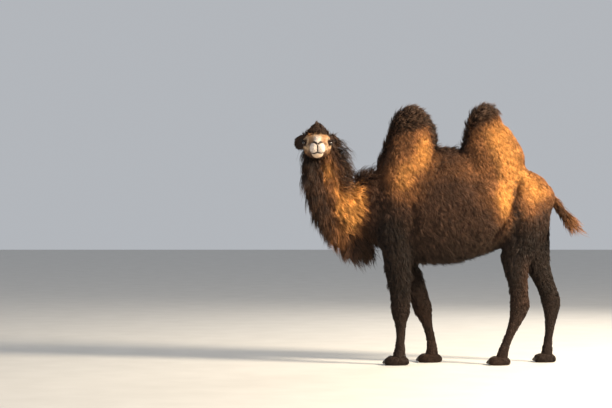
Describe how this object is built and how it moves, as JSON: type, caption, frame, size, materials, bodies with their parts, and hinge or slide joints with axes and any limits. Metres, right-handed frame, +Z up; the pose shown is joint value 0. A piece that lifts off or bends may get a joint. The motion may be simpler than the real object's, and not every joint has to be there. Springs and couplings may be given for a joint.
{
  "type": "standing bactrian camel figure",
  "caption": "Life-size standing two-humped camel in a shaggy coat, head turned to its left, for use as a still museum or scene figure.",
  "frame": {"origin": "centre of the bounding box in plan, at the level of the soles", "axes": "+Z up; the trunk faces -X, its left side faces -Y, and the head is turned to face -Y"},
  "size_m": [2.3942, 0.9248, 2.1661],
  "materials": {
    "body_coat": "thick woolly brown hair",
    "long_hair": "long coarse near-black hair",
    "face_hair": "short fine pale hair",
    "leg_hair": "short dense dark hair",
    "eye": "wet dark eye",
    "nail": "worn dark horn"
  },
  "bodies": {
    "root": {"crest_mane": "long_hair", "ear_left": "long_hair", "ear_right": "long_hair", "eye_left": "eye", "eye_right": "eye", "foreleg_left_foot": "leg_hair", "foreleg_left_lower": "leg_hair", "foreleg_left_upper": "leg_hair", "foreleg_right_foot": "leg_hair", "foreleg_right_lower": "leg_hair", "foreleg_right_upper": "leg_hair", "head": "face_hair", "hindleg_left_foot": "leg_hair", "hindleg_left_lower": "leg_hair", "hindleg_left_upper": "leg_hair", "hindleg_right_foot": "leg_hair", "hindleg_right_lower": "leg_hair", "hindleg_right_upper": "leg_hair", "hump_front": "body_coat", "hump_rear": "body_coat", "hump_tuft_front": "long_hair", "hump_tuft_rear": "long_hair", "lower_jaw": "face_hair", "nail_foreleg_left_inner": "nail", "nail_foreleg_left_outer": "nail", "nail_foreleg_right_inner": "nail", "nail_foreleg_right_outer": "nail", "nail_hindleg_left_inner": "nail", "nail_hindleg_left_outer": "nail", "nail_hindleg_right_inner": "nail", "nail_hindleg_right_outer": "nail", "neck_lower": "body_coat", "neck_upper": "long_hair", "tail": "body_coat", "tail_tuft": "long_hair", "throat_mane": "long_hair", "topknot": "long_hair", "trunk": "body_coat"}
  },
  "joints": []
}
